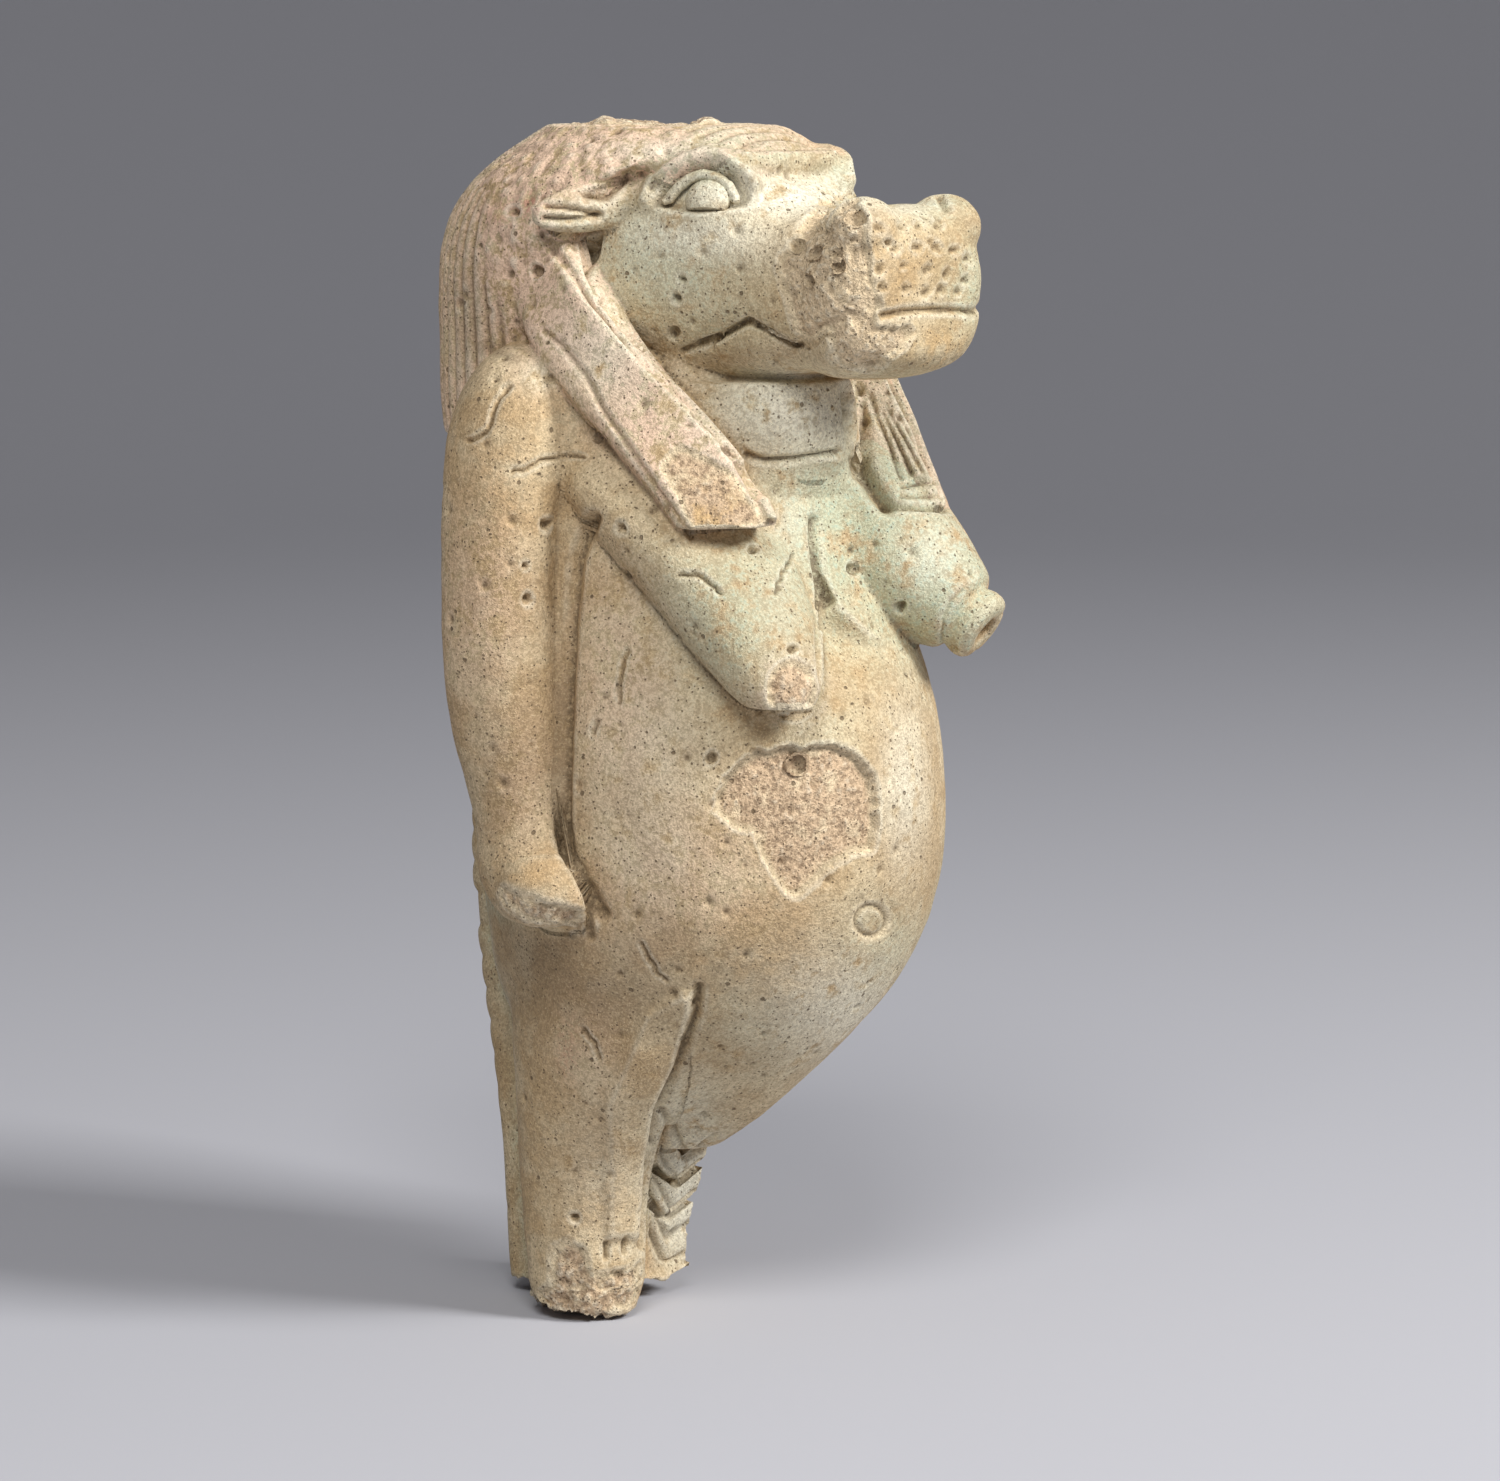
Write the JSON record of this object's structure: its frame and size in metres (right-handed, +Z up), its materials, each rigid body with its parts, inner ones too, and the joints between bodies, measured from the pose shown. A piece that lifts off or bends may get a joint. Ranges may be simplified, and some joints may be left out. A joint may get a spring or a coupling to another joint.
{
  "type": "faience figure jar",
  "caption": "Pouring jar of faience shaped as a standing hippopotamus goddess, filled at the crown and poured through the pierced left breast.",
  "frame": {"origin": "where the axis of the filling mouth meets the plane of the broken underside", "axes": "+Z up along the filling mouth, -Y the way the figure faces, +X the figure's own left"},
  "size_m": [0.0816, 0.0814, 0.1687],
  "materials": {
    "faience_skin": "worn matt faience, pale green to buff, pitted",
    "faience_wig": "worn matt faience, pink-buff on the crown",
    "faience_break": "rough broken faience, bare of glaze"
  },
  "bodies": {
    "root": {"belly_shell": "faience_skin", "back_shell": "faience_skin", "head": "faience_skin", "wig_cap": "faience_wig", "right_lappet": "faience_wig", "left_lappet": "faience_wig", "mouth_collar": "faience_break", "right_ear": "faience_skin", "left_ear": "faience_skin", "right_eye": "faience_skin", "left_eye": "faience_skin", "right_eyelid": "faience_skin", "left_eyelid": "faience_skin", "right_arm": "faience_skin", "left_arm": "faience_skin", "right_breast": "faience_skin", "left_breast": "faience_skin", "right_leg": "faience_skin", "crocodile_tail": "faience_skin"}
  },
  "joints": []
}
